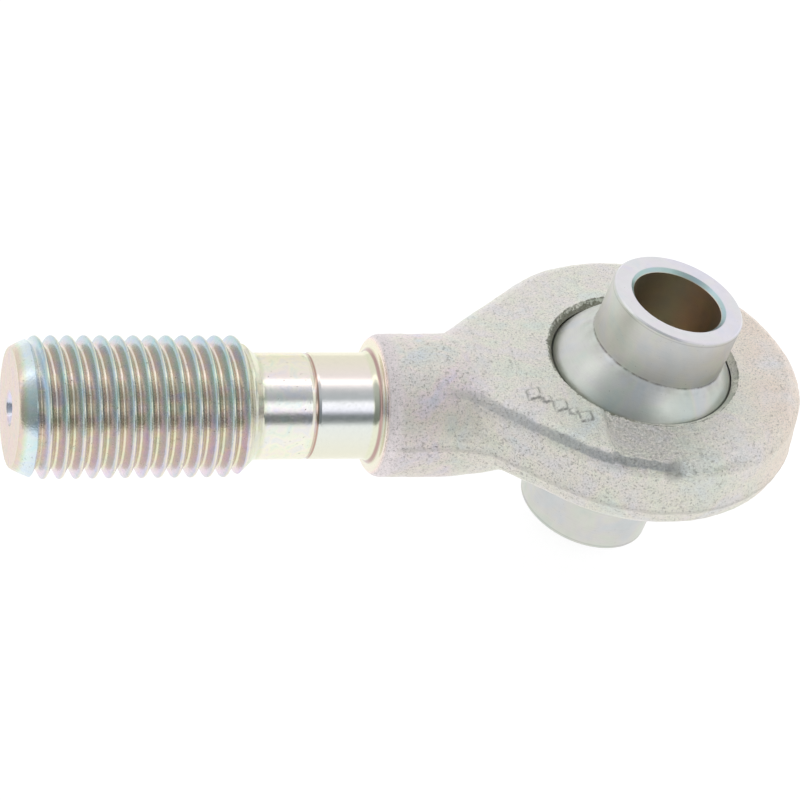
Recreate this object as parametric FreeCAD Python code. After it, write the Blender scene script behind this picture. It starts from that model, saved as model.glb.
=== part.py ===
import FreeCAD, Part
import math
import os

# Threaded rod end with a swivelling ball, millimetres.
# Origin: centre of the ball and of the eye.
# -X runs down the shank to the threaded end, +Z is the axis of the eye.

# ---------------------------------------------------------------- driving sizes
# Thread and turned shank
thread_d = 30.0            # major diameter, metric coarse
thread_pitch = 3.5
end_from_centre = 136.8    # ball centre to the threaded end face
thread_run = 47.6          # end face to the last full crest
first_crest = 1.16         # from the end face to the crest, on the +Y side
end_face_d = 25.1          # flat left inside the end chamfer
end_chamfer_len = 5.2
runout_len = 4.0           # cone from the last crest down to the plain shank
shank_d = 22.8
centre_hole_d = 7.0        # lathe centre left in the end face
centre_pilot_d = 3.2
centre_pilot_len = 4.0

# Friction-weld line between the stud and the forging
weld_from_centre = 73.6
weld_groove_w = 1.4
weld_groove_depth = 0.2

# Forged neck and eye
shoulder_from_centre = 59.3
shoulder_fillet = 2.0
shoulder_edge_len = 2.0    # softened outer edge of the shoulder, along the axis
shoulder_edge_drop = 1.1
neck_d = 30.7
neck_straight_to = 45.0    # ball centre to the end of the round neck
eye_d = 72.0               # at the parting line
arm_half_angle = 39.2      # each flank of the arms to the shank axis
eye_top = 13.0             # flat face on the pressed side
eye_bottom = 9.8           # flat face on the die side
mouth_d = 42.4             # edge of the mouth in the top face
mouth_depth = 1.4          # height of the lip's bevel

# Ball
ball_d = 45.6
collar_d = 29.4
ball_width = 60.0          # over both collar faces
bore_d = 20.0
bore_chamfer = 0.85
collar_chamfer = 0.4
rest_tilt = 8.0            # lean of the ball towards +X as drawn

# Clearances of the swivel, outwards from the ball
layer_gap = 0.08           # between neighbouring layers
film_t = 0.10              # thickness of each grease layer
lip_gap = 0.30             # ball to lip
film_in_half_angle = 4.5   # height of the inner layer seen from the ball centre
film_out_half_angle = 20.0
chamber_half = 8.6         # height of the grease space either side of the centre

# ---------------------------------------------------------------- worked values
V = FreeCAD.Vector
thread_r = thread_d / 2
shank_r = shank_d / 2
neck_r = neck_d / 2
eye_r = eye_d / 2
ball_r = ball_d / 2
collar_r = collar_d / 2
bore_r = bore_d / 2
thread_depth = 0.61343 * thread_pitch
film_in_r = ball_r + layer_gap
film_out_r = film_in_r + film_t + layer_gap
chamber_r = film_out_r + film_t + layer_gap
lip_r = ball_r + lip_gap
foot_z = math.sqrt(ball_r ** 2 - collar_r ** 2)
X_AXIS = V(1, 0, 0)
Y_AXIS = V(0, 1, 0)
Z_AXIS = V(0, 0, 1)
ORIGIN = V(0, 0, 0)


# ---------------------------------------------------------------- helpers
def turned_on_x(points):
    """Solid turned about the shank axis from (x, radius) points."""
    wire = Part.makePolygon([V(x, r, 0) for x, r in points] + [V(points[0][0], points[0][1], 0)])
    return Part.Face(wire).revolve(ORIGIN, X_AXIS, 360)


def turned_on_z(edges):
    """Solid turned about the eye axis from a closed chain of edges in the XZ plane."""
    return Part.Face(Part.Wire(edges)).revolve(ORIGIN, Z_AXIS, 360)


def rz(r, z):
    return V(r, 0, z)


def sphere_band(r_in, r_out, half_angle):
    """Band of a hollow sphere, the same height above and below the centre."""
    a = math.radians(half_angle)
    c, s = math.cos(a), math.sin(a)
    edges = [
        Part.makeLine(rz(r_in * c, -r_in * s), rz(r_out * c, -r_out * s)),
        Part.Arc(rz(r_out * c, -r_out * s), rz(r_out, 0), rz(r_out * c, r_out * s)).toShape(),
        Part.makeLine(rz(r_out * c, r_out * s), rz(r_in * c, r_in * s)),
        Part.Arc(rz(r_in * c, r_in * s), rz(r_in, 0), rz(r_in * c, -r_in * s)).toShape(),
    ]
    return turned_on_z(edges)


def save(shape, name):
    shape.exportStep("parts/" + name + ".step")


# ---------------------------------------------------------------- threaded stud
def threaded_stud():
    x0 = -end_from_centre
    x_crest = x0 + thread_run
    x_weld = -weld_from_centre
    x_groove = x_weld - weld_groove_w / 2
    r_groove = shank_r - weld_groove_depth
    pilot_r = centre_pilot_d / 2
    cone_len = (centre_hole_d - centre_pilot_d) / 2 / math.tan(math.radians(30))
    blank = turned_on_x([
        (x0 + cone_len + centre_pilot_len, 0),
        (x0 + cone_len + centre_pilot_len, pilot_r),
        (x0 + cone_len, pilot_r),
        (x0, centre_hole_d / 2),
        (x0, end_face_d / 2),
        (x0 + end_chamfer_len, thread_r),
        (x_crest, thread_r),
        (x_crest + runout_len, shank_r),
        (x_groove, shank_r),
        (x_groove, r_groove),
        (x_weld, r_groove),
        (x_weld, 0),
    ])
    # V groove of the thread, swept along a right-hand helix
    over = 0.05
    half_crest = thread_pitch * 7 / 16 + over * math.tan(math.radians(30))
    half_root = thread_pitch * 7 / 16 - thread_depth * math.tan(math.radians(30))
    root_r = thread_r - thread_depth
    height = thread_run + runout_len + 3 * thread_pitch
    helix = Part.makeLongHelix(thread_pitch, height, thread_r)
    profile = Part.makePolygon([
        V(thread_r + over, 0, -half_crest),
        V(root_r, 0, -half_root),
        V(root_r, 0, half_root),
        V(thread_r + over, 0, half_crest),
        V(thread_r + over, 0, -half_crest),
    ])
    cutter = Part.Wire(helix.Edges).makePipeShell([profile], True, True)
    # laid along X, the swept groove leaves a crest 3/4 pitch past the end face on +Y;
    # turning it about the shank brings that crest to first_crest
    cutter.rotate(ORIGIN, Y_AXIS, 90)
    cutter.translate(V(x0 - 2 * thread_pitch, 0, 0))
    cutter.rotate(ORIGIN, X_AXIS, 360 * (0.75 - first_crest / thread_pitch))
    return blank.cut(cutter)


# ---------------------------------------------------------------- forged eye
def eye_outline(inset, z):
    """Outline of eye and arms at one height: a big arc and two flanks tangent to it."""
    b = math.radians(arm_half_angle)
    r = eye_r - inset
    y_end = 8.9 - 0.5 * inset
    x_end = -(r - y_end * math.cos(b)) / math.sin(b)
    x_t, y_t = -r * math.sin(b), r * math.cos(b)
    arc = Part.Arc(V(x_t, y_t, z), V(r, 0, z), V(x_t, -y_t, z)).toShape()
    return Part.Wire([
        arc,
        Part.makeLine(V(x_t, -y_t, z), V(x_end, -y_end, z)),
        Part.makeLine(V(x_end, -y_end, z), V(x_end, y_end, z)),
        Part.makeLine(V(x_end, y_end, z), V(x_t, y_t, z)),
    ])


def neck_section(x, half_w, z_low, z_high):
    """Oval across the neck at one place along the shank axis."""
    half_h = (z_high - z_low) / 2
    centre = V(x, 0, (z_high + z_low) / 2)
    if half_w >= half_h:
        oval = Part.Ellipse(centre + V(0, half_w, 0), centre + V(0, 0, half_h), centre)
    else:
        oval = Part.Ellipse(centre + V(0, 0, half_h), centre + V(0, -half_w, 0), centre)
    return Part.Wire([oval.toShape()])


def forged_eye():
    # skin of the forging: height over the shank axis and inset from the parting line
    skin = [
        (-eye_bottom, 11.2),
        (-eye_bottom + 3.6, 5.0),
        (-2.4, 0.9),
        (1.0, 0.0),
        (eye_top - 2.6, 0.4),
        (eye_top - 0.9, 1.8),
        (eye_top, 3.4),
    ]
    body = Part.makeLoft([eye_outline(inset, z) for z, inset in skin], True, True)

    # round neck melting into the flat arms
    hump = Part.makeLoft([
        neck_section(-neck_straight_to, neck_r, -neck_r, neck_r),
        neck_section(-neck_straight_to + 2.5, neck_r + 0.1, -neck_r + 0.1, neck_r),
        neck_section(-38.0, 16.6, -13.6, eye_top + 1.5),
        neck_section(-31.5, 17.2, -10.8, eye_top + 0.4),
        neck_section(-25.0, 16.0, -8.6, eye_top - 0.8),
    ], True, False)

    # turned seat: weld line, plain shank, fillet, shoulder and softened edge
    x_weld = -weld_from_centre
    x_groove = x_weld + weld_groove_w / 2
    x_face = -shoulder_from_centre
    r_groove = shank_r - weld_groove_depth
    f = shoulder_fillet
    fillet = [
        (x_face - f + f * math.sin(a), shank_r + f - f * math.cos(a))
        for a in [math.radians(15 * i) for i in range(7)]
    ]
    neck = turned_on_x([
        (x_weld, 0),
        (x_weld, r_groove),
        (x_groove, r_groove),
        (x_groove, shank_r),
    ] + fillet + [
        (x_face, neck_r - shoulder_edge_drop),
        (x_face + shoulder_edge_len * 0.35, neck_r - shoulder_edge_drop * 0.35),
        (x_face + shoulder_edge_len, neck_r),
        (-neck_straight_to, neck_r),
        (-neck_straight_to, 0),
    ])
    body = body.fuse([hump, neck]).removeSplitter()

    # socket: grease space, two closed lips and the bevelled mouth
    lips = Part.makeSphere(lip_r)
    slab = Part.makeBox(80, 80, 2 * chamber_half, V(-40, -40, -chamber_half))
    chamber = Part.makeSphere(chamber_r).common(slab)
    lip_z = eye_top - mouth_depth
    lip_mouth_r = math.sqrt(lip_r ** 2 - lip_z ** 2)
    top_bevel = Part.makeCone(lip_mouth_r, mouth_d / 2, mouth_depth, V(0, 0, lip_z))
    top_over = Part.makeCylinder(mouth_d / 2, 6, V(0, 0, eye_top))
    low_z = eye_bottom - 0.8
    low_r = math.sqrt(lip_r ** 2 - low_z ** 2)
    low_bevel = Part.makeCone(low_r + 1.0, low_r, 0.8, V(0, 0, -eye_bottom))
    low_over = Part.makeCylinder(low_r + 1.0, 6, V(0, 0, -eye_bottom - 6))
    return body.cut([lips, chamber, top_bevel, top_over, low_bevel, low_over])


# ---------------------------------------------------------------- ball
def tilted(shape):
    """Lean a piece drawn upright into the drawn rest position."""
    shape.rotate(ORIGIN, Y_AXIS, rest_tilt)
    return shape


def ball():
    half = ball_width / 2
    c = bore_chamfer
    k = collar_chamfer
    ends = [
        rz(collar_r, foot_z), rz(collar_r, half - k), rz(collar_r - k, half), rz(bore_r + c, half),
        rz(bore_r, half - c), rz(bore_r, -half + c),
        rz(bore_r + c, -half), rz(collar_r - k, -half), rz(collar_r, -half + k), rz(collar_r, -foot_z),
    ]
    edges = [Part.makeLine(p, q) for p, q in zip(ends[:-1], ends[1:])]
    edges.append(Part.Arc(rz(collar_r, -foot_z), rz(ball_r, 0), rz(collar_r, foot_z)).toShape())
    return tilted(turned_on_z(edges))


# ---------------------------------------------------------------- write the pieces
os.makedirs("parts", exist_ok=True)
save(threaded_stud(), "threaded_stud")
save(forged_eye(), "forged_eye")
save(sphere_band(film_out_r, film_out_r + film_t, film_out_half_angle), "grease_film_outer")
save(tilted(sphere_band(film_in_r, film_in_r + film_t, film_in_half_angle)), "grease_film_inner")
save(ball(), "ball")
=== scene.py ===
import bmesh
import bpy
import math
from mathutils import Matrix, Vector, noise


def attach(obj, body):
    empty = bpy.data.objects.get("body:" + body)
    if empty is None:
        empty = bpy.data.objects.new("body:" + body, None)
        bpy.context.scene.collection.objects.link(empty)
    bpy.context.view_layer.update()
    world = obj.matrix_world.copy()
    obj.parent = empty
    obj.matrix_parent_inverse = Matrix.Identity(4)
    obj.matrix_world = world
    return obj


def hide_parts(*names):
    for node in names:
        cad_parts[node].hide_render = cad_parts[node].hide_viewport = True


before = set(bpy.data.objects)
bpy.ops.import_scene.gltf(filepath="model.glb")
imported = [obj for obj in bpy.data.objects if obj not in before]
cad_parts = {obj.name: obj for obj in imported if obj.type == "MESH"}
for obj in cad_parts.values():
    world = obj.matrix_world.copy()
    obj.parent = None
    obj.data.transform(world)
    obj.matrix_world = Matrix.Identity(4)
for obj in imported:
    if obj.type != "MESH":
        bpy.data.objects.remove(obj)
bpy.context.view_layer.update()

MM = 0.001

# ------------------------------------------------------------------ threaded stud
# Turned bar end: lathe centre and chamfer at the tip, a rolled M30 x 3.5 right-hand
# thread, and a relief turned below the thread root. Zinc plated with a yellow-green
# and pink passivate, friction welded to the seat of the forging at the ring line.
TIP_X = -136.8
TIP_FACE_R = 12.55
TIP_CHAMFER = 5.2
CREST_R = 15.0
PITCH = 3.5
ROOT_R = CREST_R - 0.61343 * PITCH
LAST_CREST_X = -89.2
RUN_OUT, RELIEF_SHARE = 4.0, 1.15
SHANK_R = 11.4
WELD_X = -73.6
FIRST_CREST = 1.16
CONE_R, CONE_DEPTH = 3.5, 3.3
PILOT_R, PILOT_DEPTH = 1.6, 9.3
WELD_GROOVE = 0.2
TURNS, PITCH_STEPS, ROUND_STEPS = 17, 20, 144
RING_BROWN = (0.50, 0.34, 0.28)
# points from the shank's axis to its underside, down and towards the near side
UNDERSIDE = (0.0, -0.658, -0.753)
FLOAT, COLOUR, VECTOR = "NodeSocketFloat", "NodeSocketColor", "NodeSocketVector"


class Wires:
    """Adds and joins nodes in one tree; i0, i1 name a socket by number, else by its name."""

    def __init__(self, tree):
        self.tree = tree

    def add(self, kind, out=0, settings=None, **sockets):
        node = self.tree.nodes.new(kind)
        for name, value in (settings or {}).items():
            setattr(node, name, value)
        for name, value in sockets.items():
            numbered = name[0] == "i" and name[1:].isdigit()
            self.feed(node.inputs[int(name[1:]) if numbered else name.replace("_", " ")], value)
        return node.outputs[out] if out is not None else node

    def feed(self, socket, value):
        if isinstance(value, bpy.types.NodeSocket):
            self.tree.links.new(value, socket)
        elif isinstance(value, bpy.types.Node):
            self.tree.links.new(value.outputs[0], socket)
        else:
            socket.default_value = value

    def calc(self, operation, a, b=None, c=None, clamp=False):
        values = {"i0": a}
        if b is not None:
            values["i1"] = b
        if c is not None:
            values["i2"] = c
        settings = {"operation": operation, "use_clamp": clamp}
        return self.add("ShaderNodeMath", settings=settings, **values)

    def span(self, value, low, high, to_low=0.0, to_high=1.0, smooth=False):
        kind = "SMOOTHSTEP" if smooth else "LINEAR"
        return self.add("ShaderNodeMapRange", settings={"interpolation_type": kind}, i0=value,
                        i1=low, i2=high, i3=to_low, i4=to_high)

    def split(self, vector):
        node = self.add("ShaderNodeSeparateXYZ", None, i0=vector)
        return node.outputs[0], node.outputs[1], node.outputs[2]


def group_inputs(tree, sockets):
    for name, kind, default in sockets:
        socket = tree.interface.new_socket(name, in_out="INPUT", socket_type=kind)
        if default is not None:
            socket.default_value = default


def thread_tree():
    """Sleeve whose wall follows a helical ridge between two end circles."""
    tree = bpy.data.node_groups.new("threaded sleeve", "GeometryNodeTree")
    group_inputs(tree, [(name, FLOAT, 0.0) for name in (
        "Tip X", "Tip Radius", "Chamfer", "Crest Radius", "Root Radius", "Pitch",
        "Crest Offset", "Last Crest X", "Run Out", "Relief Radius")])
    group_inputs(tree, [
        ("Turns", "NodeSocketInt", TURNS), ("Round Steps", "NodeSocketInt", ROUND_STEPS),
        ("Pitch Steps", "NodeSocketInt", PITCH_STEPS), ("Finish", "NodeSocketMaterial", None)])
    tree.interface.new_socket("Geometry", in_out="OUTPUT", socket_type="NodeSocketGeometry")
    w = Wires(tree)
    given = tree.nodes.new("NodeGroupInput").outputs
    rows = w.calc("ADD", w.calc("MULTIPLY", given["Turns"], given["Pitch Steps"]), 1.0)
    columns = w.calc("ADD", given["Round Steps"], 1.0)
    grid = w.add("GeometryNodeMeshGrid", None, Size_X=1.0, Size_Y=1.0,
                 Vertices_X=columns, Vertices_Y=rows)
    x, y, _ = w.split(w.add("GeometryNodeInputPosition"))
    part = w.calc("ADD", x, 0.5)
    angle = w.calc("MULTIPLY", part, 2 * math.pi)
    turn = w.calc("MULTIPLY", w.calc("ADD", y, 0.5), given["Turns"])
    # the grid starts two pitches outside the tip and climbs one pitch a turn
    first_crest = w.calc("ADD", given["Tip X"], given["Crest Offset"])
    start = w.calc("MULTIPLY_ADD", given["Pitch"], -2.0, first_crest)
    along = w.calc("MULTIPLY_ADD", given["Pitch"], w.calc("ADD", turn, part), start)
    # distance from the middle of the groove; the crest line is at whole turns
    off = w.calc("ABSOLUTE", w.calc("SUBTRACT", w.calc("FRACT", turn), 0.5))
    rise = w.span(off, 0.07, 0.44)
    rounding = w.calc("SUBTRACT", w.span(rise, 0.0, 1.0, smooth=True), rise)
    soft = w.calc("MULTIPLY_ADD", rounding, 0.4, rise)
    # rolling starts on the chamfer, so the groove only sinks in towards its big end
    sink = w.span(along, w.calc("MULTIPLY_ADD", given["Chamfer"], 0.35, given["Tip X"]),
                  w.calc("ADD", given["Tip X"], given["Chamfer"]), smooth=True)
    depth = w.calc("MULTIPLY", w.calc("SUBTRACT", given["Crest Radius"], given["Root Radius"]), sink)
    dip = w.calc("MULTIPLY", depth, w.calc("SUBTRACT", 1.0, soft))
    ridge = w.calc("SUBTRACT", given["Crest Radius"], dip)
    end_x = w.calc("ADD", given["Last Crest X"], w.calc("MULTIPLY", given["Run Out"], RELIEF_SHARE))
    held = w.calc("MINIMUM", w.calc("MAXIMUM", along, given["Tip X"]), end_x)
    # the chamfer swells a little, steepest next to the end face
    inward = w.calc("DIVIDE", w.calc("SUBTRACT", held, given["Tip X"]), given["Chamfer"], clamp=True)
    tip = w.calc("MULTIPLY_ADD", w.calc("POWER", inward, 0.78),
                 w.calc("SUBTRACT", given["Crest Radius"], given["Tip Radius"]), given["Tip Radius"])
    tail = w.span(held, given["Last Crest X"], w.calc("ADD", given["Last Crest X"], given["Run Out"]),
                  given["Crest Radius"], given["Relief Radius"])
    outline = w.calc("MINIMUM", tip, tail)
    radius = w.calc("MINIMUM", w.calc("SMOOTH_MIN", ridge, outline, 0.15 * MM), outline)
    place = w.add("ShaderNodeCombineXYZ", i0=held, i1=w.calc("MULTIPLY", radius, w.calc("COSINE", angle)),
                  i2=w.calc("MULTIPLY", radius, w.calc("SINE", angle)))
    bent = w.add("GeometryNodeSetPosition", Geometry=grid, Position=place)
    welded = w.add("GeometryNodeMergeByDistance", Geometry=bent, Distance=2e-6)
    smooth = w.add("GeometryNodeSetShadeSmooth", Geometry=welded)
    real = w.add("GeometryNodeRealizeInstances", Geometry=smooth)
    done = w.add("GeometryNodeSetMaterial", Geometry=real, Material=given["Finish"])
    w.feed(tree.nodes.new("NodeGroupOutput").inputs[0], done)
    return tree


def plain_mesh(obj):
    """The object's shape with its modifiers applied; the modifiers are then removed."""
    bpy.context.view_layer.update()
    now = obj.evaluated_get(bpy.context.evaluated_depsgraph_get())
    mesh = bpy.data.meshes.new_from_object(now)
    obj.modifiers.clear()
    return mesh


def made_by(tree, name, values):
    """Object with the plain mesh of a geometry tree whose named inputs are set."""
    obj = bpy.data.objects.new(name, bpy.data.meshes.new(name))
    bpy.context.scene.collection.objects.link(obj)
    modifier = obj.modifiers.new("make", "NODES")
    modifier.node_group = tree
    for item in tree.interface.items_tree:
        if item.item_type == "SOCKET" and item.in_out == "INPUT" and item.name in values:
            modifier[item.identifier] = values[item.name]
    obj.data = plain_mesh(obj)
    return obj


def turned(points, axis, steps=ROUND_STEPS):
    """bmesh of a profile of (along, radius) points in millimetres, turned about an axis."""
    bm = bmesh.new()
    rings = []
    for along, radius in points:
        if radius < 1e-6:
            rings.append([bm.verts.new(Vector((along, 0, 0)) * MM)])
            continue
        ring = []
        for i in range(steps):
            a = 2 * math.pi * i / steps
            ring.append(bm.verts.new(Vector((along, radius * math.cos(a), radius * math.sin(a))) * MM))
        rings.append(ring)
    for low, high in zip(rings[:-1], rings[1:]):
        for i in range(steps):
            j = (i + 1) % steps
            quad = [low[i % len(low)], low[j % len(low)], high[j % len(high)], high[i % len(high)]]
            face = []
            for v in quad:
                if v not in face:
                    face.append(v)
            if len(face) > 2:
                bm.faces.new(face)
    if axis == "Z":
        # (x, y, z) becomes (y, z, x), which keeps the faces outward
        bm.transform(Matrix(((0, 1, 0, 0), (0, 0, 1, 0), (1, 0, 0, 0), (0, 0, 0, 1))))
    return bm


def take_in(bm, extra):
    """Add the faces of a second bmesh to the first, and free the second."""
    spare = bpy.data.meshes.new("spare")
    extra.to_mesh(spare)
    extra.free()
    bm.from_mesh(spare)
    bpy.data.meshes.remove(spare)


def finish_piece(obj, body, material, node, crease=35.0):
    """Settle a piece's mesh, finish and place in the frame."""
    mesh = obj.data
    bm = bmesh.new()
    bm.from_mesh(mesh)
    bmesh.ops.remove_doubles(bm, verts=bm.verts, dist=2e-6)
    bmesh.ops.dissolve_degenerate(bm, edges=bm.edges, dist=1e-7)
    bmesh.ops.recalc_face_normals(bm, faces=bm.faces)
    bm.to_mesh(mesh)
    bm.free()
    mesh.materials.clear()
    mesh.materials.append(material)
    mesh.shade_smooth()
    mesh.set_sharp_from_angle(angle=math.radians(crease))
    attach(obj, body)
    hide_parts(node)
    return obj


def object_from(bm, name):
    mesh = bpy.data.meshes.new(name)
    bm.to_mesh(mesh)
    bm.free()
    obj = bpy.data.objects.new(name, mesh)
    bpy.context.scene.collection.objects.link(obj)
    return obj


def new_material(name):
    material = bpy.data.materials.new(name)
    material.use_nodes = True
    tree = material.node_tree
    tree.nodes.clear()
    w = Wires(tree)
    shader = tree.nodes.new("ShaderNodeBsdfPrincipled")
    w.feed(tree.nodes.new("ShaderNodeOutputMaterial").inputs[0], shader.outputs[0])
    return material, w, shader


def shade_group(name, inputs, outputs):
    """Empty shader group with named inputs and outputs, ready to be wired."""
    tree = bpy.data.node_groups.new(name, "ShaderNodeTree")
    group_inputs(tree, inputs)
    for out_name, kind in outputs:
        tree.interface.new_socket(out_name, in_out="OUTPUT", socket_type=kind)
    given = tree.nodes.new("NodeGroupInput").outputs
    result = tree.nodes.new("NodeGroupOutput").inputs
    return tree, Wires(tree), given, result


def use(w, tree, **sockets):
    """Outputs of a shader group placed with its own values."""
    node = w.add("ShaderNodeGroup", None, {"node_tree": tree})
    for name, value in sockets.items():
        w.feed(node.inputs[name.replace("_", " ")], value)
    return node.outputs


def ramp(w, value, stops):
    """Colour along a value from (place, (r, g, b)) stops."""
    node = w.add("ShaderNodeValToRGB", None, i0=value)
    band = node.color_ramp
    while len(band.elements) < len(stops):
        band.elements.new(1.0)
    for element, (place, colour) in zip(band.elements, stops):
        element.position = place
        element.color = (*colour, 1.0)
    return node.outputs[0]


def blend(w, amount, first, second, kind="MIX"):
    node = w.add("ShaderNodeMix", None, {"data_type": "RGBA", "blend_type": kind})
    w.feed(node.inputs[0], amount)
    for socket, value in ((node.inputs[6], first), (node.inputs[7], second)):
        w.feed(socket, (*value, 1.0) if isinstance(value, tuple) and len(value) == 3 else value)
    return node.outputs[2]


def grain(w, vector, scale, detail=2.0, roughness=0.5, distortion=0.0):
    node = w.add("ShaderNodeTexNoise", None)
    for name, value in (("Vector", vector), ("Scale", scale), ("Detail", detail),
                        ("Roughness", roughness), ("Distortion", distortion)):
        w.feed(node.inputs[name], value)
    return node.outputs[0]


def both(w, *masks):
    result = masks[0]
    for mask in masks[1:]:
        result = w.calc("MULTIPLY", result, mask)
    return result


def inside(w, value, low, high, edge):
    """One between two limits, falling to nothing over an edge width."""
    return both(w, w.span(value, low - edge, low + edge, smooth=True),
                w.span(value, high + edge, high - edge, smooth=True))


def millimetres(w):
    place = w.add("ShaderNodeTexCoord", "Object")
    return w.add("ShaderNodeVectorMath", 0, {"operation": "SCALE"}, Vector=place, Scale=1000.0)


def dot(w, vector, fixed):
    return w.add("ShaderNodeVectorMath", "Value", {"operation": "DOT_PRODUCT"}, i0=vector, i1=fixed)


def stretched(w, vector, factors):
    return w.add("ShaderNodeVectorMath", 0, {"operation": "MULTIPLY"}, i0=vector, i1=factors)


# thin-film colours of the passivate: soft patches that wander over a base colour
passivate, w, given, result = shade_group(
    "passivate tint", [("Vector", VECTOR, None), ("Base", COLOUR, None), ("Patch Size", FLOAT, 8.0),
                       ("Strength", FLOAT, 0.3)], [("Color", COLOUR)])
rate = w.calc("DIVIDE", 1.0, given["Patch Size"])
film = grain(w, given["Vector"], rate, 3.0, 0.55, 0.6)
hues = ramp(w, w.span(film, 0.3, 0.7), [
    (0.0, (0.62, 0.66, 0.86)), (0.22, (0.80, 0.70, 0.86)), (0.42, (0.95, 0.78, 0.74)),
    (0.6, (0.90, 0.86, 0.66)), (0.8, (0.70, 0.80, 0.64)), (1.0, (0.58, 0.76, 0.78))])
w.feed(result["Color"], blend(w, given["Strength"], given["Base"], hues))

# pores and specks left in a rough or plated skin
pores, w, given, result = shade_group(
    "pores", [("Vector", VECTOR, None), ("Size", FLOAT, 0.5), ("Amount", FLOAT, 0.5)],
    [("Mask", FLOAT), ("Height", FLOAT)])
rate = w.calc("DIVIDE", 1.0, given["Size"])
fine = grain(w, given["Vector"], rate, 3.0, 0.6)
edge = w.calc("MULTIPLY_ADD", given["Amount"], -0.22, 0.72)
spots = w.span(fine, edge, w.calc("ADD", edge, 0.09), smooth=True)
w.feed(result["Mask"], spots)
w.feed(result["Height"], w.calc("MULTIPLY_ADD", spots, -0.7, fine))

# faint rings a turning tool leaves, one every Spacing along the turning axis
tool_rings, w, given, result = shade_group(
    "tool rings", [("Along", FLOAT, 0.0), ("Vector", VECTOR, None), ("Spacing", FLOAT, 0.3)],
    [("Mask", FLOAT), ("Height", FLOAT)])
line = w.add("ShaderNodeCombineXYZ", i0=w.calc("DIVIDE", given["Along"], given["Spacing"]))
rings = grain(w, line, 1.0, 3.0, 0.7)
broken = grain(w, given["Vector"], 0.4, 2.0)
w.feed(result["Mask"], w.calc("MULTIPLY", w.span(rings, 0.35, 0.75), w.span(broken, 0.3, 0.6)))
w.feed(result["Height"], rings)


def settle(w, shader, colour, roughness, height, depth_mm, metallic=1.0):
    """Wire a finished look into the surface shader."""
    w.feed(shader.inputs["Base Color"], colour)
    w.feed(shader.inputs["Roughness"], roughness)
    w.feed(shader.inputs["Metallic"], metallic)
    bump = w.add("ShaderNodeBump", None)
    w.feed(bump.inputs["Strength"], 1.0)
    w.feed(bump.inputs["Distance"], depth_mm * MM)
    w.feed(bump.inputs["Height"], height)
    w.feed(shader.inputs["Normal"], bump.outputs[0])


zinc_thread, w, shader = new_material("zinc plated thread")
place = millimetres(w)
x, y, z = w.split(place)
radius = w.calc("SQRT", w.calc("ADD", w.calc("MULTIPLY", y, y), w.calc("MULTIPLY", z, z)))
turn = w.calc("DIVIDE", w.calc("ARCTAN2", z, y), 2 * math.pi)
# 0 on the crest line, 0.5 in the root, the flank that faces the tip above 0.5
wander = w.calc("MULTIPLY_ADD", grain(w, place, 0.5, 2.0), 0.08, -0.04)
phase = w.calc("FRACT", w.calc("ADD", wander, w.calc(
    "SUBTRACT", w.calc("DIVIDE", w.calc("SUBTRACT", x, TIP_X + FIRST_CREST), PITCH), turn)))
# 1 on the underside of the shank, -1 on its upper side
under = w.calc("DIVIDE", dot(w, place, UNDERSIDE), radius)
# thread colours by place in the turn: passivate tints, with a painted highlight on the crest line and in
# the root and painted shade on the flank that faces away from the tip; the upper and lower sets paint the
# light on each side of the bar
upper_thread_tint_and_light = ramp(w, phase, [
    (0.0, (0.58, 0.62, 0.52)), (0.05, (0.84, 0.90, 0.74)), (0.12, (0.45, 0.49, 0.34)),
    (0.36, (0.54, 0.50, 0.42)), (0.46, (0.84, 0.80, 0.64)), (0.54, (0.86, 0.76, 0.68)),
    (0.61, (0.68, 0.54, 0.49)), (0.69, (0.58, 0.55, 0.62)), (0.78, (0.43, 0.56, 0.69)),
    (0.88, (0.34, 0.56, 0.63)), (0.96, (0.36, 0.50, 0.53)), (1.0, (0.58, 0.62, 0.52))])
lower_thread_tint_and_light = ramp(w, phase, [
    (0.0, (0.78, 0.72, 0.62)), (0.07, (0.84, 0.82, 0.66)), (0.15, (0.58, 0.58, 0.44)),
    (0.38, (0.62, 0.55, 0.48)), (0.47, (0.80, 0.80, 0.52)), (0.56, (0.78, 0.74, 0.54)),
    (0.64, (0.78, 0.62, 0.64)), (0.77, (0.74, 0.57, 0.74)), (0.89, (0.54, 0.56, 0.68)),
    (0.96, (0.64, 0.62, 0.60)), (1.0, (0.78, 0.72, 0.62))])
thread_tint_and_light = blend(w, w.span(under, 0.05, 0.55, smooth=True), upper_thread_tint_and_light, lower_thread_tint_and_light)
# shank colours round the bar: passivate tints with a painted highlight line on the upper side and painted
# darker bands below it, where the dark gap is reflected
shank_tint_and_reflection = ramp(w, w.span(under, -1.0, 1.0), [
    (0.0, (0.84, 0.78, 0.52)), (0.12, (0.90, 0.88, 0.72)), (0.22, (0.90, 0.82, 0.80)),
    (0.36, (0.95, 0.95, 0.94)), (0.47, (0.76, 0.79, 0.82)), (0.56, (0.66, 0.64, 0.72)),
    (0.68, (0.74, 0.77, 0.74)), (0.84, (0.86, 0.88, 0.76)), (1.0, (0.88, 0.87, 0.70))])
ring_seen = inside(w, x, WELD_X - 0.42, WELD_X + 0.4, 0.14)
ring_edge = inside(w, x, WELD_X - 1.1, WELD_X + 0.8, 0.2)
shank_tint_and_reflection = blend(w, both(w, ring_edge, 0.5), shank_tint_and_reflection, (0.80, 0.80, 0.58))
shank_tint_and_reflection = blend(w, both(w, ring_seen, 0.85), shank_tint_and_reflection, RING_BROWN)
run_out = inside(w, x, LAST_CREST_X + 1.2, LAST_CREST_X + RUN_OUT + 0.6, 0.5)
shank_tint_and_reflection = blend(w, both(w, run_out, 0.55), shank_tint_and_reflection, (0.58, 0.66, 0.42))
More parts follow.
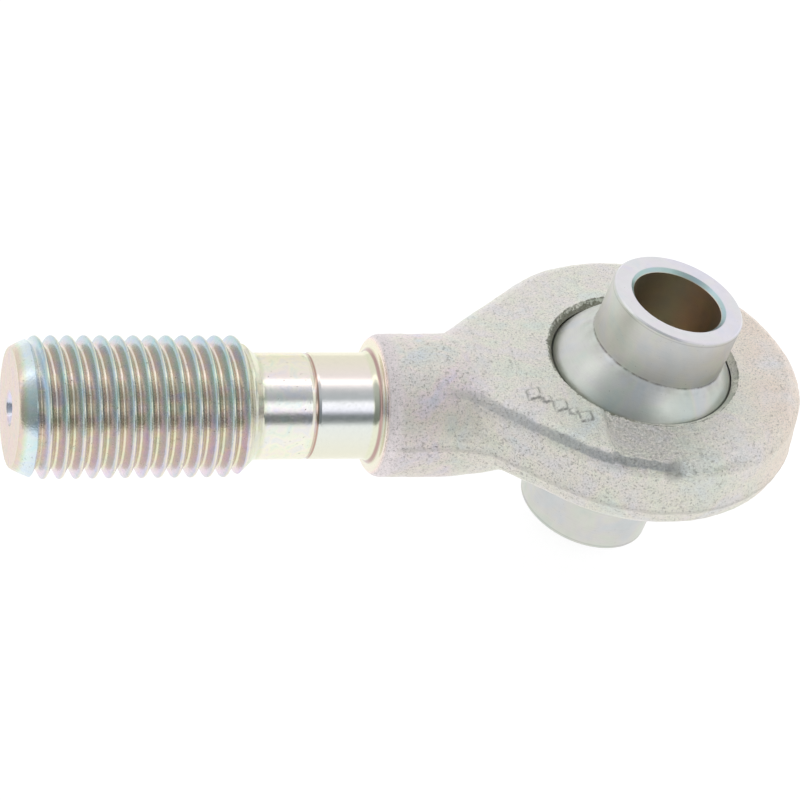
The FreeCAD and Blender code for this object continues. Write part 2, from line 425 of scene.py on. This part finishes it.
chamfer_film = ramp(w, w.span(radius, TIP_FACE_R - 0.3, CREST_R), [
    (0.0, (0.66, 0.49, 0.41)), (0.28, (0.72, 0.60, 0.50)), (0.38, (0.66, 0.75, 0.58)),
    (0.50, (0.68, 0.84, 0.88)), (0.8, (0.58, 0.76, 0.84)), (1.0, (0.66, 0.74, 0.80))])
# end face colours out from the axis: painted shade at the bottom of the lathe centre's hole, lilac in the
# cone, brown over the face
face_tint_and_hole_shade = ramp(w, w.span(radius, 0.0, TIP_FACE_R), [
    (0.0, (0.20, 0.18, 0.26)), (0.14, (0.52, 0.50, 0.76)), (0.26, (0.70, 0.70, 0.90)),
    (0.30, (0.62, 0.42, 0.40)), (0.36, (0.64, 0.46, 0.38)), (0.9, (0.65, 0.48, 0.40)),
    (1.0, (0.64, 0.55, 0.39))])
past_thread = w.span(x, LAST_CREST_X + 0.8, LAST_CREST_X + 2.2, smooth=True)
colour = blend(w, past_thread, thread_tint_and_light, shank_tint_and_reflection)
on_chamfer = w.span(x, TIP_X + TIP_CHAMFER, TIP_X + TIP_CHAMFER - 1.6, smooth=True)
colour = blend(w, on_chamfer, colour, chamfer_film)
colour = blend(w, w.span(x, TIP_X + 0.12, TIP_X + 0.04), colour, face_tint_and_hole_shade)
# a broken dark arc on one side of the lathe centre's rim, and the cone inside it
rim_breaks = w.span(grain(w, stretched(w, place, (1.0, 1.3, 0.5)), 0.7, 3.0), 0.46, 0.50)
rim_arc = both(w, inside(w, radius, CONE_R, CONE_R + 0.4, 0.2), rim_breaks, w.span(y, 0.6, -0.4),
               w.span(x, TIP_X + 1.0, TIP_X + 0.6))
colour = blend(w, w.calc("MULTIPLY", rim_arc, 0.9), colour, (0.10, 0.08, 0.12))
# the cone and its hole take the end face colours, with their painted shade
inner = both(w, w.span(radius, CONE_R + 0.1, CONE_R - 0.1), w.span(x, TIP_X + 12.0, TIP_X + 10.0))
colour = blend(w, inner, colour, face_tint_and_hole_shade)
colour = use(w, passivate, Vector=place, Base=colour, Patch_Size=3.4, Strength=0.26)[0]
specks = use(w, pores, Vector=place, Size=0.55, Amount=0.32)
rings = use(w, tool_rings, Along=x, Vector=place, Spacing=0.22)
colour = blend(w, w.calc("MULTIPLY", specks["Mask"], 0.75), colour, (0.16, 0.14, 0.11))
plain = w.span(x, LAST_CREST_X + 2.0, LAST_CREST_X + 3.0)
roughness = w.calc("ADD", w.calc("MULTIPLY_ADD", grain(w, place, 1.2, 3.0), 0.16, 0.17),
                   w.calc("MULTIPLY", specks["Mask"], 0.3))
roughness = w.calc("MULTIPLY_ADD", plain, -0.09, roughness)
height = w.calc("MULTIPLY_ADD", rings["Height"], w.calc("MULTIPLY", plain, 0.06),
                w.calc("MULTIPLY", specks["Height"], w.span(plain, 0.0, 1.0, 1.0, 0.3)))
settle(w, shader, colour, roughness, height, 0.035)

sleeve = made_by(thread_tree(), "threaded_stud_skin", {
    "Tip X": TIP_X * MM, "Tip Radius": TIP_FACE_R * MM, "Chamfer": TIP_CHAMFER * MM,
    "Crest Radius": CREST_R * MM, "Root Radius": ROOT_R * MM, "Pitch": PITCH * MM,
    "Crest Offset": FIRST_CREST * MM, "Last Crest X": LAST_CREST_X * MM, "Run Out": RUN_OUT * MM,
    "Relief Radius": SHANK_R * MM, "Turns": TURNS, "Round Steps": ROUND_STEPS,
    "Pitch Steps": PITCH_STEPS, "Finish": zinc_thread,
})
# end face with its lathe centre; the two close rings keep the face's shading flat
tip_end = turned([(TIP_X + PILOT_DEPTH, 0), (TIP_X + PILOT_DEPTH, PILOT_R), (TIP_X + CONE_DEPTH, PILOT_R),
                  (TIP_X, CONE_R), (TIP_X, CONE_R + 0.3), (TIP_X, TIP_FACE_R - 0.3),
                  (TIP_X, TIP_FACE_R)][::-1], "X")
bmesh.ops.reverse_faces(tip_end, faces=tip_end.faces)
# plain shank from the thread's run-out to the groove at the weld
tail_start = LAST_CREST_X + RUN_OUT * RELIEF_SHARE
tail_end = turned([(tail_start, SHANK_R), (tail_start + 0.25, SHANK_R), (WELD_X - 1.1, SHANK_R),
                   (WELD_X - 0.9, SHANK_R), (WELD_X - 0.5, SHANK_R - WELD_GROOVE),
                   (WELD_X, SHANK_R - WELD_GROOVE), (WELD_X, 0)], "X")
stud_bm = bmesh.new()
stud_bm.from_mesh(sleeve.data)
take_in(stud_bm, tip_end)
take_in(stud_bm, tail_end)
stud_bm.to_mesh(sleeve.data)
stud_bm.free()
finish_piece(sleeve, "eye", zinc_thread, "threaded_stud")

# ------------------------------------------------------------------ swivel ball
# One turned steel piece: a ball with a collar on each side and a bore right through.
# Zinc plated all over. The forging's two closed-in mouths hold it with no other
# fixing, and it stands leaning a little away from the stud.
BALL_R, COLLAR_R, BALL_HALF, BORE_R, BALL_LEAN = 22.8, 14.7, 30.0, 10.0, 8.0
BORE_EDGE, COLLAR_EDGE, ARC_STEPS = 0.85, 0.4, 80
foot = math.sqrt(BALL_R ** 2 - COLLAR_R ** 2)
foot_angle = math.asin(foot / BALL_R)
arc = []
for i in range(ARC_STEPS + 1):
    a = foot_angle * (1 - 2 * i / ARC_STEPS)
    arc.append((BALL_R * math.sin(a), BALL_R * math.cos(a)))
end = [(BALL_HALF - BORE_EDGE, BORE_R), (BALL_HALF, BORE_R + BORE_EDGE),
       (BALL_HALF, COLLAR_R - COLLAR_EDGE), (BALL_HALF - COLLAR_EDGE, COLLAR_R)]
far_end = [(-along, radius) for along, radius in end]
profile = far_end[:1] + end + arc + far_end[::-1]
zinc_ball, w, shader = new_material("zinc plated ball")
place = millimetres(w)
lean = math.radians(BALL_LEAN)
along = dot(w, place, (math.sin(lean), 0.0, math.cos(lean)))
beyond = w.calc("SUBTRACT", dot(w, place, place), w.calc("MULTIPLY", along, along))
radius = w.calc("SQRT", w.calc("MAXIMUM", beyond, 0.0))
height = w.calc("ABSOLUTE", along)
colour = blend(w, w.span(height, foot - 0.4, foot + 0.8), (0.67, 0.70, 0.69), (0.61, 0.63, 0.60))
smudge = w.span(grain(w, stretched(w, place, (0.12, 0.12, 0.05)), 1.0, 3.0), 0.38, 0.62)
colour = blend(w, w.calc("MULTIPLY", smudge, 0.35), colour, (0.54, 0.58, 0.55))
colour = blend(w, w.span(height, BALL_HALF - 0.45, BALL_HALF - 0.1), colour, (0.82, 0.81, 0.88))
colour = blend(w, inside(w, radius, BORE_R + 0.1, BORE_R + 0.8, 0.12), colour, (0.42, 0.62, 0.64))
bore_film = ramp(w, w.span(dot(w, place, (0.0, 1.0, 0.0)), -BORE_R, BORE_R), [
    (0.0, (0.60, 0.60, 0.48)), (0.3, (0.70, 0.58, 0.44)), (0.55, (0.84, 0.62, 0.44)),
    (0.8, (0.70, 0.58, 0.44)), (1.0, (0.56, 0.57, 0.46))])
in_bore = w.span(radius, BORE_R + 0.08, BORE_R + 0.02)
colour = blend(w, in_bore, colour, bore_film)
# painted shade on the ball, fading in towards the crease at the collar's foot and broken by noise
foot_shade_halo = both(w, w.span(height, foot - 2.6, foot - 0.1, smooth=True), w.span(height, foot + 0.1, foot),
            w.span(grain(w, place, 0.35, 3.0), 0.35, 0.65), 0.5)
colour = blend(w, foot_shade_halo, colour, (0.34, 0.36, 0.33))
# dark broken line in the crease at the collar's foot: painted shade there, with dirt
foot_line = inside(w, height, foot - 0.15, foot + 0.18, 0.12)
foot_dirt_and_shade = both(w, foot_line, w.span(grain(w, place, 0.8, 2.0), 0.3, 0.6), w.span(radius, 13.0, 14.0))
colour = blend(w, w.calc("MULTIPLY", foot_dirt_and_shade, 0.8), colour, (0.10, 0.10, 0.09))
rim_line = both(w, inside(w, height, BALL_HALF - 1.0, BALL_HALF - 0.75, 0.12), w.span(radius, 13.5, 14.2))
colour = blend(w, w.calc("MULTIPLY", rim_line, 0.5), colour, (0.32, 0.33, 0.32))
colour = use(w, passivate, Vector=place, Base=colour, Patch_Size=9.0, Strength=0.16)[0]
specks = use(w, pores, Vector=place, Size=0.5, Amount=0.2)
rings = use(w, tool_rings, Along=height, Vector=place, Spacing=0.35)
colour = blend(w, w.calc("MULTIPLY", specks["Mask"], 0.6), colour, (0.18, 0.18, 0.16))
colour = blend(w, w.calc("MULTIPLY", rings["Mask"], 0.16), colour, (0.30, 0.31, 0.30))
roughness = w.calc("MULTIPLY_ADD", grain(w, place, 0.6, 3.0), 0.14, 0.30)
relief = w.calc("MULTIPLY_ADD", rings["Height"], 0.10, specks["Height"])
settle(w, shader, colour, roughness, relief, 0.03)
bm = turned(profile[::-1], "Z", 160)
bm.transform(Matrix.Rotation(math.radians(BALL_LEAN), 4, "Y"))
finish_piece(object_from(bm, "swivel_ball_skin"), "ball", zinc_ball, "ball")

# ------------------------------------------------------------------ forged eye
# Drop-forged steel, zinc plated over the skin from the dies: a flat eye with a tapered
# neck, its mouths pressed in over the ball. Only the seat and shoulder beside the weld
# are turned. A plain row of lozenges is raised on the front arm.
EYE_TOP, EYE_BOTTOM = 13.0, -9.8
SHOULDER_X, NECK_R, FILLET = -59.3, 15.35, 2.0
SOCKET_R, CHAMBER_R, CHAMBER_HALF = 23.1, 23.24, 8.6
MOUTH_R, MOUTH_Z = 21.2, 11.6
PLUG_R = 24.0
VOXEL = 0.5
SKIN_FROM_X = -57.2
MARK_AT, MARK_DIR = Vector((-23.4, -14.8, 0)), Vector((0.80, -0.60, 0))
MARK_ACROSS = Vector((-MARK_DIR.y, MARK_DIR.x, 0))
# each lozenge: place along the row, half length, half width
LOZENGES = ((-5.6, 2.0, 2.7), (-2.5, 1.1, 1.5), (0.6, 2.0, 2.7), (3.7, 1.1, 1.5), (6.6, 1.8, 2.4))


def smooth_step(value, low, high):
    t = min(1.0, max(0.0, (value - low) / (high - low)))
    return t * t * (3 - 2 * t)


def mark_height(p):
    """Row of raised lozenges, large and small in turn, laid along the front arm."""
    along = (p - MARK_AT).dot(MARK_DIR)
    across = (p - MARK_AT).dot(MARK_ACROSS)
    best = 0.0
    for centre, half_len, half_wide in LOZENGES:
        reach = abs(along - centre) / half_len + abs(across) / half_wide
        best = max(best, 1.0 - smooth_step(reach, 0.72, 1.12))
    return best


def forged_lift(p, normal):
    """How far the die and scale leave the skin off the true form, in millimetres."""
    lift = noise.noise(p * 0.16) * 0.16 + noise.noise(p * 0.55 + Vector((7, 3, 1))) * 0.07
    lift += noise.noise(p * 1.6) * 0.035
    # the die stands lower on the front of the face, with a step beside the mark
    if normal.z > 0.6 and p.z > 11.0 and math.hypot(p.x, p.y) > 20.0:
        step_x = -13.6 + 0.1 * (p.y + 17.3) + 0.35 * noise.noise(p * 0.5)
        low = smooth_step(p.x, step_x - 0.3, step_x + 0.4) * (1 - smooth_step(p.x, 9.0, 17.0))
        low *= 1 - smooth_step(p.y, -10.0, -6.0)
        lift -= low * (0.6 + 0.2 * noise.noise(p * 0.8))
        lift += 0.42 * mark_height(p)
    # flash trimmed off at the parting line leaves a narrow proud land
    land = 1 - smooth_step(abs(p.z - 0.9 - 0.25 * noise.noise(p * 0.2)), 0.25, 0.75)
    lift += 0.16 * land * (1 if abs(normal.z) < 0.6 else 0)
    return lift * smooth_step(p.x, -57.0, -54.5)


source = bmesh.new()
cad_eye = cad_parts["forged_eye"]
source.from_mesh(cad_eye.data)
source.transform(cad_eye.matrix_world)
bmesh.ops.remove_doubles(source, verts=source.verts, dist=2e-6)
# the socket is filled for the skin to be laid, and is cut out true afterwards
plug = turned([(EYE_BOTTOM, 0), (EYE_BOTTOM, PLUG_R), (EYE_TOP, PLUG_R), (EYE_TOP, 0)][::-1], "Z")
take_in(source, plug)
bmesh.ops.recalc_face_normals(source, faces=source.faces)
eye = object_from(source, "forged_eye_skin")
remesh = eye.modifiers.new("skin", "REMESH")
remesh.mode = "VOXEL"
remesh.voxel_size = VOXEL * MM
relax = eye.modifiers.new("relax", "SMOOTH")
relax.factor, relax.iterations = 0.5, 3
mesh = plain_mesh(eye)
bm = bmesh.new()
bm.from_mesh(mesh)
everything = bm.verts[:] + bm.edges[:] + bm.faces[:]
bmesh.ops.bisect_plane(bm, geom=everything, plane_co=(SKIN_FROM_X * MM, 0, 0), plane_no=(1, 0, 0),
                       clear_inner=True)
bmesh.ops.holes_fill(bm, edges=[e for e in bm.edges if e.is_boundary], sides=0)
bm.normal_update()
relief = bm.verts.layers.float.new("mark")
moves = [(v, v.normal * forged_lift(v.co / MM, v.normal) * MM) for v in bm.verts]
for v, move in moves:
    p = v.co / MM
    v[relief] = mark_height(p) if v.normal.z > 0.6 and p.z > 11.0 and p.x < -14.0 else 0.0
    v.co += move
bm.to_mesh(mesh)
bm.free()
eye.data = mesh

# the socket, cut true with the lip closed in over the ball at both mouths
profile = [(EYE_TOP + 2.5, 0), (EYE_TOP + 2.5, MOUTH_R + 0.6), (EYE_TOP, MOUTH_R),
           (MOUTH_Z, math.sqrt(SOCKET_R ** 2 - MOUTH_Z ** 2))]
levels = [(10.0, SOCKET_R), (CHAMBER_HALF, SOCKET_R), (CHAMBER_HALF, CHAMBER_R)]
levels += [(CHAMBER_HALF * (1 - i / 8), CHAMBER_R) for i in range(1, 17)] + [(-CHAMBER_HALF, SOCKET_R)]
profile += [(level, math.sqrt(r * r - level * level)) for level, r in levels]
bottom_r = math.sqrt(SOCKET_R ** 2 - EYE_BOTTOM ** 2)
profile += [(EYE_BOTTOM, bottom_r), (EYE_BOTTOM - 2.5, bottom_r), (EYE_BOTTOM - 2.5, 0)]
bm = turned(profile, "Z", 180)
bmesh.ops.recalc_face_normals(bm, faces=bm.faces)
cutter = object_from(bm, "socket cutter")
cut = eye.modifiers.new("socket", "BOOLEAN")
cut.operation, cut.solver, cut.object = "DIFFERENCE", "EXACT", cutter
mesh = plain_mesh(eye)
bpy.data.objects.remove(cutter)

# turned seat, fillet, shoulder and its softened edge, running on inside the neck
seat = [(WELD_X, 0), (WELD_X, SHANK_R - WELD_GROOVE), (WELD_X + 0.5, SHANK_R - WELD_GROOVE),
        (WELD_X + 0.75, SHANK_R), (WELD_X + 0.95, SHANK_R), (SHOULDER_X - FILLET - 0.2, SHANK_R)]
for i in range(9):
    a = math.pi / 2 * i / 8
    seat.append((SHOULDER_X - FILLET + FILLET * math.sin(a), SHANK_R + FILLET - FILLET * math.cos(a)))
seat += [(SHOULDER_X, NECK_R - 1.5), (SHOULDER_X + 0.12, NECK_R - 1.15), (SHOULDER_X + 0.6, NECK_R - 0.65),
         (SHOULDER_X + 1.2, NECK_R - 0.25), (SHOULDER_X + 2.0, NECK_R), (SHOULDER_X + 2.3, NECK_R),
         (-53.0, NECK_R - 0.6), (-53.0, 0)]
bm = turned(seat, "X")
bm.from_mesh(mesh)
bm.to_mesh(mesh)
bm.free()
eye.data = mesh

zinc_forging, w, shader = new_material("zinc plated forging")
place = millimetres(w)
x, y, z = w.split(place)
flat = w.calc("SQRT", w.calc("ADD", w.calc("MULTIPLY", x, x), w.calc("MULTIPLY", y, y)))
facing = w.split(w.add("ShaderNodeNewGeometry", "Normal"))[2]
colour = use(w, passivate, Vector=place, Base=(0.98, 0.98, 0.94, 1.0), Patch_Size=12.0, Strength=0.28)[0]
# -1 on the neck's upper side, 1 on its underside
neck_under = w.calc("DIVIDE", dot(w, place, UNDERSIDE), NECK_R)
# neck colours round the bar: pink passivate tints, with a painted darker band along the near side where the
# dark gap is reflected, as on the shank
neck_tint_and_reflection = ramp(w, w.span(neck_under, -1.0, 1.0), [
    (0.0, (1.0, 0.95, 0.98)), (0.22, (1.0, 0.91, 0.97)), (0.42, (0.84, 0.77, 0.84)),
    (0.60, (0.84, 0.77, 0.80)), (0.78, (0.95, 0.92, 0.93)), (1.0, (0.98, 0.93, 0.95))])
neck_patches_and_reflection = use(w, passivate, Vector=place, Base=neck_tint_and_reflection, Patch_Size=9.0, Strength=0.42)[0]
colour = blend(w, w.span(x, -34.0, -46.0, smooth=True), colour, neck_patches_and_reflection)
colour = use(w, passivate, Vector=place, Base=colour, Patch_Size=4.0, Strength=0.10)[0]
warm_side = both(w, w.span(x, 12.0, 30.0, smooth=True), w.span(grain(w, place, 0.09, 2.0), 0.28, 0.5))
colour = blend(w, w.calc("MULTIPLY", warm_side, 0.75), colour, (0.98, 0.82, 0.72))
steep = w.span(facing, 0.85, 0.35, smooth=True)
shaded = blend(w, 1.0, colour, (0.84, 0.84, 0.81), "MULTIPLY")
colour = blend(w, w.calc("MULTIPLY", steep, 0.75), colour, shaded)
# the trimmed upper edge of the front arm: painted shade on its sloped band, ending in a painted dark patch
edge_wobble = w.calc("MULTIPLY_ADD", grain(w, place, 0.22, 4.0, 0.7), 1.1, -0.55)
edge_z = w.calc("ADD", z, edge_wobble)
edge_shade_mottle = grain(w, place, 2.0, 3.0, 0.7)
band = both(w, inside(w, edge_z, 11.0, 12.5, 0.22), inside(w, x, -46.0, -2.0, 1.5), w.span(y, -7.0, -9.5),
            w.span(flat, 21.0, 26.0), w.span(x, -48.0, -18.0, 0.25, 1.0), w.span(facing, 0.96, 0.90))
colour = blend(w, both(w, band, w.span(edge_shade_mottle, 0.35, 0.6, 0.6, 0.95)), colour, (0.34, 0.36, 0.38))
# painted dark patch where the shaded edge band ends
blob_at = (-2.2, -34.0, 11.3)
blob_way = w.add("ShaderNodeVectorMath", "Value", {"operation": "DISTANCE"}, i0=place, i1=blob_at)
blob = w.span(w.calc("ADD", blob_way, w.calc("MULTIPLY", edge_wobble, 2.6)), 3.1, 1.1, smooth=True)
colour = blend(w, w.calc("MULTIPLY", blob, 0.5), colour, (0.26, 0.26, 0.27))
# metal drawn in over the ball: painted shade in the gap under the lip on the side towards the neck, and a
# broken dark line along the mouth's rim
around = w.calc("ARCTAN2", y, w.calc("MULTIPLY", x, -1.0))
gap_shade_reach = w.calc("MULTIPLY_ADD", grain(w, place, 0.9, 4.0, 0.7), 4.2, MOUTH_R - 2.3)
lip_gap_shade = both(w, w.span(flat, gap_shade_reach, w.calc("SUBTRACT", gap_shade_reach, 0.2)), w.span(z, 10.8, 11.4),
            inside(w, around, -1.3, 1.5, 0.25))
rim_dark_line = both(w, inside(w, flat, MOUTH_R - 0.12, MOUTH_R + 0.16, 0.1),
                 w.span(grain(w, place, 0.5, 3.0), 0.46, 0.56), w.span(z, 11.4, 11.9))
lip = both(w, inside(w, flat, 20.0, MOUTH_R + 0.05, 0.15), w.span(z, 10.8, 11.4))
colour = blend(w, both(w, lip, 0.4), colour, (0.74, 0.77, 0.66))
colour = blend(w, w.calc("MULTIPLY", lip_gap_shade, 0.85), colour, (0.15, 0.15, 0.09))
colour = blend(w, w.calc("MULTIPLY", rim_dark_line, 0.75), colour, (0.17, 0.17, 0.12))
# scale held in the corners of the raised mark
mark = w.add("ShaderNodeAttribute", "Fac", {"attribute_name": "mark"})
corner = w.calc("MULTIPLY", w.calc("MULTIPLY", mark, w.calc("SUBTRACT", 1.0, mark)), 4.0)
held_scale = both(w, corner, w.span(grain(w, place, 0.9, 2.0), 0.3, 0.55), 0.75)
colour = blend(w, held_scale, colour, (0.22, 0.22, 0.21))
# stippled ground where the die stood lower
low_patch = both(w, w.span(x, -14.2, -13.2), w.span(x, 13.0, -5.0, smooth=True),
                 w.span(y, -12.0, -15.0), w.span(z, 11.4, 11.9), w.span(flat, 21.2, 21.8))
stipple = w.span(grain(w, place, 1.7, 3.0, 0.7), 0.42, 0.58)
stippled = both(w, low_patch, w.calc("MULTIPLY_ADD", stipple, 0.42, 0.10))
colour = blend(w, stippled, colour, (0.34, 0.34, 0.32))
# the parting line of the dies
parting = both(w, inside(w, z, 0.3, 1.3, 0.25), w.span(flat, 22.0, 30.0))
colour = blend(w, w.calc("MULTIPLY", parting, 0.35), colour, (0.40, 0.38, 0.34))
# turned seat: the same colours as the shank, with their painted highlight and painted darker bands, rosy on
# the shoulder's soft edge
turned_part = w.span(x, SHOULDER_X + 0.7, SHOULDER_X + 0.2)
colour = blend(w, w.span(x, SHOULDER_X + 4.5, SHOULDER_X + 1.8, smooth=True), colour, (0.90, 0.82, 0.84))
under = w.calc("DIVIDE", dot(w, place, UNDERSIDE), SHANK_R)
seat_tint_and_reflection = ramp(w, w.span(under, -1.0, 1.0), [
    (0.0, (0.86, 0.82, 0.62)), (0.25, (0.92, 0.82, 0.80)), (0.42, (0.92, 0.92, 0.92)),
    (0.56, (0.68, 0.68, 0.76)), (0.68, (0.76, 0.79, 0.76)), (1.0, (0.84, 0.82, 0.66))])
seat_tint_and_reflection = blend(w, both(w, inside(w, x, -61.4, -59.5, 0.4), 0.7), seat_tint_and_reflection, (0.78, 0.79, 0.58))
seat_tint_and_reflection = blend(w, inside(w, x, -60.2, -59.6, 0.2), seat_tint_and_reflection, (0.50, 0.34, 0.31))
seat_tint_and_reflection = blend(w, w.span(x, SHOULDER_X - 0.1, SHOULDER_X + 0.3), seat_tint_and_reflection, (0.93, 0.76, 0.70))
seat_tint_and_reflection = blend(w, inside(w, x, WELD_X - 0.1, WELD_X + 0.4, 0.14), seat_tint_and_reflection, RING_BROWN)
colour = blend(w, turned_part, colour, seat_tint_and_reflection)
# rough plated skin everywhere but on the turned seat
specks = use(w, pores, Vector=place, Size=0.42, Amount=0.68)
coarse = use(w, pores, Vector=place, Size=1.3, Amount=0.46)
mottle = grain(w, place, 2.6, 4.0, 0.75)
skin = w.calc("SUBTRACT", 1.0, w.calc("MULTIPLY", turned_part, 0.85))
grainy = w.calc("MULTIPLY", w.span(mottle, 0.40, 0.66), skin)
colour = blend(w, w.calc("MULTIPLY", grainy, 0.55), colour, (0.56, 0.56, 0.54))
colour = blend(w, both(w, specks["Mask"], skin, 0.5), colour, (0.28, 0.27, 0.25))
colour = blend(w, both(w, coarse["Mask"], skin, 0.35), colour, (0.34, 0.33, 0.31))
roughness = w.calc("ADD", w.calc("MULTIPLY", skin, 0.30),
                   w.calc("MULTIPLY_ADD", grain(w, place, 1.1, 3.0), 0.14, 0.07))
relief = w.calc("MULTIPLY_ADD", coarse["Height"], 1.4, w.calc("ADD", specks["Height"], mottle))
relief = w.calc("MULTIPLY", relief, w.span(turned_part, 0.0, 1.0, 1.0, 0.02))
settle(w, shader, colour, roughness, relief, 0.17)
finish_piece(eye, "eye", zinc_forging, "forged_eye", 50.0)

# ------------------------------------------------------------------ grease
# Amber bearing grease packed between ball and socket when the eye is closed, and worked
# into two thin layers there by the ball. Only what shows in the gap at the lip is seen.
amber, w, shader = new_material("amber grease")
place = millimetres(w)
streaks = grain(w, place, 0.9, 4.0, 0.6, 1.2)
colour = ramp(w, w.span(streaks, 0.3, 0.7), [(0.0, (0.24, 0.13, 0.03)), (0.5, (0.46, 0.28, 0.07)),
                                             (1.0, (0.62, 0.42, 0.14))])
settle(w, shader, colour, w.calc("MULTIPLY_ADD", streaks, 0.3, 0.15), streaks, 0.02, 0.0)
for name in ("grease_film_outer", "grease_film_inner"):
    film_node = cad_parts[name]
    film_node.data.materials.clear()
    film_node.data.materials.append(amber)

# ------------------------------------------------------------------ floor and light
# White paper under an overcast of white boards, with one dark gap where the room shows
# behind the viewer and a long lamp above it; the plating mirrors both.
GAP_TOWARD = (-0.2813, -0.7214, 0.6328)
GAP_UP = (0.005, 0.658, 0.753)
SECOND_LAMP_TOWARD = (0.324, -0.746, 0.582)
FLOOR_Z, FLOOR_HALF = -0.034, 6.0


def cosine(degrees):
    return math.cos(math.radians(degrees))


bm = bmesh.new()
bmesh.ops.create_grid(bm, x_segments=1, y_segments=1, size=FLOOR_HALF)
bm.transform(Matrix.Translation((0, 0, FLOOR_Z)))
floor = object_from(bm, "floor")
pale, w, shader = new_material("pale paper")
place = millimetres(w)
fibre = grain(w, place, 0.8, 3.0)
shade = w.span(fibre, 0.0, 1.0, 0.20, 0.23)
paper_tone = blend(w, 1.0, (1, 1, 1), w.add("ShaderNodeCombineXYZ", i0=shade, i1=shade, i2=shade))
settle(w, shader, paper_tone, 0.9, fibre, 0.01, 0.0)
w.feed(shader.inputs["Emission Color"], (1.0, 1.0, 1.0, 1.0))
w.feed(shader.inputs["Emission Strength"], 0.88)
floor.data.materials.append(pale)

world = bpy.data.worlds.new("studio")
bpy.context.scene.world = world
world.use_nodes = True
world.node_tree.nodes.clear()
w = Wires(world.node_tree)
way = w.add("ShaderNodeTexCoord", "Generated")
toward = dot(w, way, GAP_TOWARD)
above = dot(w, way, GAP_UP)
gap = w.span(toward, cosine(54), cosine(44), smooth=True)
lamp = both(w, inside(w, toward, cosine(66), cosine(55), 0.04), w.span(above, 0.35, 0.55, smooth=True))
dim = w.span(above, -0.5, 0.62)
dusk = blend(w, dim, (0.19, 0.215, 0.205), (0.54, 0.57, 0.59))
sky = blend(w, gap, (0.90, 0.91, 0.91), dusk)
sky = blend(w, lamp, sky, (1.5, 1.5, 1.46))
second = w.span(dot(w, way, SECOND_LAMP_TOWARD), cosine(17), cosine(5), smooth=True)
sky = blend(w, second, sky, (1.35, 1.36, 1.34))
room = w.add("ShaderNodeBackground", None, Color=sky, Strength=1.0)
w.feed(world.node_tree.nodes.new("ShaderNodeOutputWorld").inputs[0], room)

# ------------------------------------------------------------------ camera
# Long lens held above the near side of the shank and rolled a little.
CAM_AZ, CAM_EL, CAM_ROLL = map(math.radians, (-21.304, 39.252, 13.575))
CAM_PLACE = (-0.255065, -0.519112, 0.456778)
back = Vector((math.sin(CAM_AZ) * math.cos(CAM_EL), -math.cos(CAM_AZ) * math.cos(CAM_EL), math.sin(CAM_EL)))
side = Vector((math.cos(CAM_AZ), math.sin(CAM_AZ), 0))
up = back.cross(side)
rolled_side = side * math.cos(CAM_ROLL) + up * math.sin(CAM_ROLL)
rolled_up = up * math.cos(CAM_ROLL) - side * math.sin(CAM_ROLL)
camera = bpy.data.objects.new("camera", bpy.data.cameras.new("camera"))
bpy.context.scene.collection.objects.link(camera)
camera.data.lens = 151.17
camera.data.sensor_width = 36.0
turned_by = Matrix((rolled_side, rolled_up, back)).transposed().to_4x4()
camera.matrix_world = Matrix.Translation(CAM_PLACE) @ turned_by
bpy.context.scene.camera = camera
bpy.context.scene.view_settings.view_transform = "Standard"
